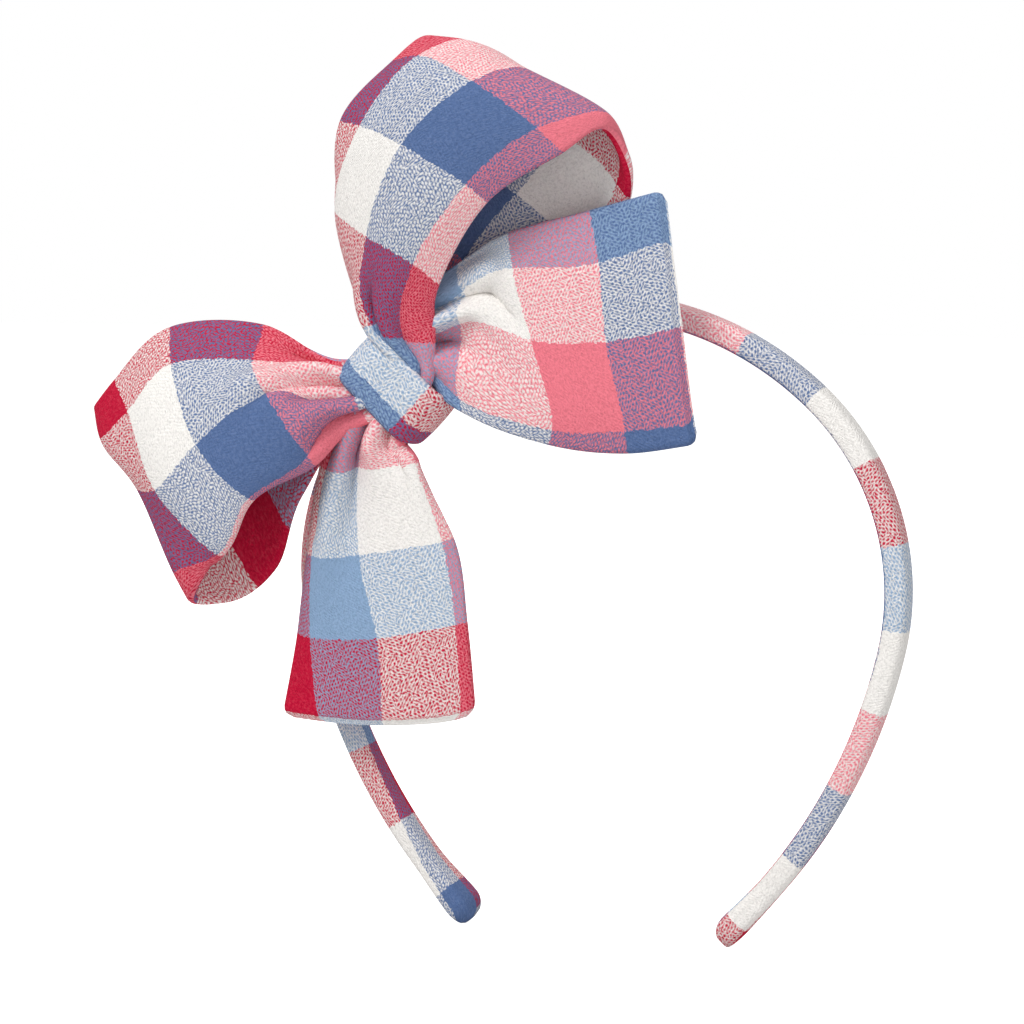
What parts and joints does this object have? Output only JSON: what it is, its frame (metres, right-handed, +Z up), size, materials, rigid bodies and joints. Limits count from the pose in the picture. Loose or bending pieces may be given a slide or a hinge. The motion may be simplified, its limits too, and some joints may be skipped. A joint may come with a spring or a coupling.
{
  "type": "bow headband",
  "caption": "Slim fabric-covered headband with a large soft bow set to one side: two open loops, two tails and a folded knot wrap, in woven plaid flannel.",
  "frame": {"origin": "centre of the hoop's crown arc, in the middle plane of the band, where the wearer's head goes", "axes": "+Z up through the crown, +Y backwards so that the bow faces -Y, +X to the right as seen from the front; the hoop lies in the XZ plane"},
  "size_m": [0.1906, 0.0334, 0.1985],
  "materials": {
    "plaid_flannel": "brushed plaid flannel",
    "core_plastic": "matt",
    "foam": "open foam",
    "felt": "pressed felt",
    "thread": "twisted",
    "interfacing": "non-woven"
  },
  "bodies": {
    "root": {"band_cover": "plaid_flannel", "band_core": "core_plastic", "band_padding": "foam", "felt_pad": "felt", "knot_wrap": "plaid_flannel", "gather_thread": "thread", "wrap_stitches": "thread", "right_loop": "plaid_flannel", "right_loop_interfacing": "interfacing", "right_loop_lining": "plaid_flannel", "left_loop": "plaid_flannel", "left_loop_interfacing": "interfacing", "left_loop_lining": "plaid_flannel", "right_tail": "plaid_flannel", "right_tail_interfacing": "interfacing", "right_tail_lining": "plaid_flannel", "lower_tail": "plaid_flannel", "lower_tail_interfacing": "interfacing", "lower_tail_lining": "plaid_flannel"}
  },
  "joints": []
}
